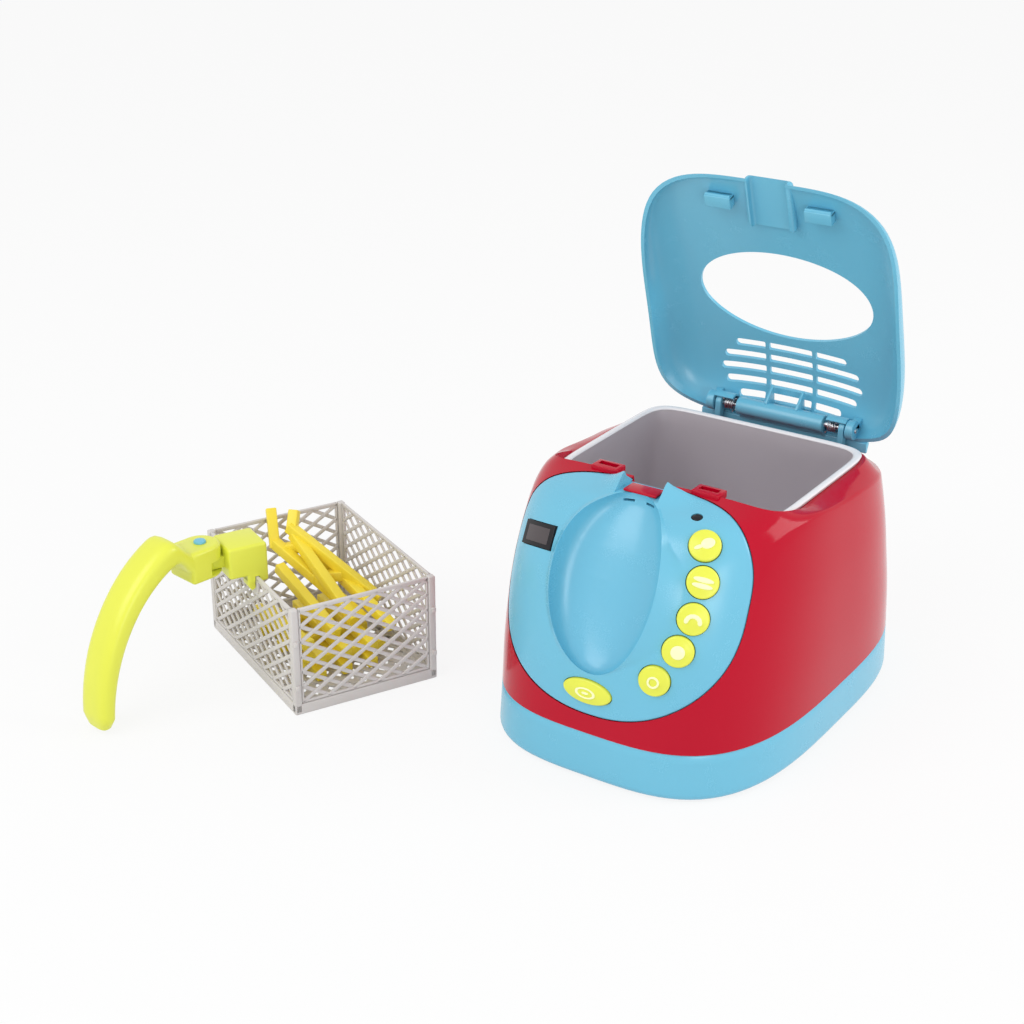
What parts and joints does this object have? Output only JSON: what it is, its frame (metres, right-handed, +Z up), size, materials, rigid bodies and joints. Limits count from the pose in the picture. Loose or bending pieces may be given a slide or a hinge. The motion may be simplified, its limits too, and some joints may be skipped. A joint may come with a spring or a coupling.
{
  "type": "toy air fryer",
  "caption": "Pretend kitchen fryer with a rounded body, projected button panel with a hand scoop, tub, sprung lid, and a lift-out lattice basket with moulded fries and a swivel handle.",
  "frame": {"origin": "middle of the flat underside of the unit's base shell, 1 mm above the surface that its feet stand on", "axes": "+Z up, square to the underside; -Y is the front with the button panel; the lid's hinge runs along X at the back"},
  "size_m": [0.3594, 0.3447, 0.279],
  "materials": {
    "red_plastic": "smooth glossy red",
    "blue_plastic": "smooth semi-gloss sky blue",
    "tub_grey_plastic": "smooth light grey",
    "basket_grey_plastic": "satin mid grey",
    "lime_plastic": "smooth yellow-green",
    "fry_yellow_plastic": "satin golden yellow",
    "dark_window": "dark glossy window",
    "steel": "bright steel wire and screws",
    "black_rubber": "matt black",
    "board_green": "green laminate",
    "cell_jacket": "dark plain jacket"
  },
  "bodies": {
    "housing": {"base_shell": "blue_plastic", "battery_cell_1": "cell_jacket", "battery_cell_2": "cell_jacket", "battery_cell_3": "cell_jacket", "battery_cover": "blue_plastic", "battery_tray": "black_rubber", "circuit_board": "board_green", "display_window": "dark_window", "foot_1": "black_rubber", "foot_2": "black_rubber", "foot_3": "black_rubber", "foot_4": "black_rubber", "front_panel": "blue_plastic", "hinge_pin": "steel", "hinge_spring_left": "steel", "hinge_spring_right": "steel", "housing_screw_1": "steel", "housing_screw_2": "steel", "housing_screw_3": "steel", "housing_screw_4": "steel", "lamp_lens": "dark_window", "speaker": "black_rubber", "tub_liner": "tub_grey_plastic", "upper_housing": "red_plastic"},
    "lid": {"lid": "blue_plastic"},
    "basket": {"basket_frame": "basket_grey_plastic", "basket_wall_far": "basket_grey_plastic", "basket_wall_handle": "basket_grey_plastic", "basket_wall_left": "basket_grey_plastic", "basket_wall_right": "basket_grey_plastic", "handle_clip": "lime_plastic"},
    "handle": {"handle_arm": "lime_plastic", "handle_pin": "blue_plastic"},
    "fries": {"fries_lying": "fry_yellow_plastic", "fries_leaning": "fry_yellow_plastic"},
    "round_button_1": {"round_button_1": "lime_plastic"},
    "round_button_2": {"round_button_2": "lime_plastic"},
    "round_button_3": {"round_button_3": "lime_plastic"},
    "round_button_4": {"round_button_4": "lime_plastic"},
    "round_button_5": {"round_button_5": "lime_plastic"},
    "oval_button": {"oval_button": "lime_plastic"}
  },
  "joints": [
    {"name": "lid_hinge", "type": "hinge", "parent": "housing", "child": "lid", "pos_m": [0, 0.0832, 0.134], "axis": [1, 0, 0], "range_deg": [0, 70], "stiffness_Nm_per_rad": 0.05, "springref_deg": -34.38},
    {"name": "basket_lift", "type": "slide", "parent": "housing", "child": "basket", "axis": [0, 0, 1], "range_m": [0, 0.2]},
    {"name": "fries_lift", "type": "slide", "parent": "basket", "child": "fries", "axis": [0, 0, 1], "range_m": [0, 0.12]},
    {"name": "handle_swivel", "type": "hinge", "parent": "basket", "child": "handle", "pos_m": [-0.23077, -0.15354, 0.073], "axis": [0, 0, 1], "range_deg": [-76, 44]},
    {"name": "round_button_1_press", "type": "slide", "parent": "housing", "child": "round_button_1", "axis": [-0.3362, 0.6593, -0.6726], "range_m": [0, 0.0016], "stiffness_N_per_m": 300},
    {"name": "round_button_2_press", "type": "slide", "parent": "housing", "child": "round_button_2", "axis": [-0.4709, 0.7523, -0.4608], "range_m": [0, 0.0016], "stiffness_N_per_m": 300},
    {"name": "round_button_3_press", "type": "slide", "parent": "housing", "child": "round_button_3", "axis": [-0.4405, 0.846, -0.3005], "range_m": [0, 0.0016], "stiffness_N_per_m": 300},
    {"name": "round_button_4_press", "type": "slide", "parent": "housing", "child": "round_button_4", "axis": [-0.428, 0.8777, -0.2156], "range_m": [0, 0.0016], "stiffness_N_per_m": 300},
    {"name": "round_button_5_press", "type": "slide", "parent": "housing", "child": "round_button_5", "axis": [-0.2018, 0.9718, -0.1223], "range_m": [0, 0.0016], "stiffness_N_per_m": 300},
    {"name": "oval_button_press", "type": "slide", "parent": "housing", "child": "oval_button", "axis": [0, 0.9989, -0.0464], "range_m": [0, 0.0016], "stiffness_N_per_m": 300}
  ]
}
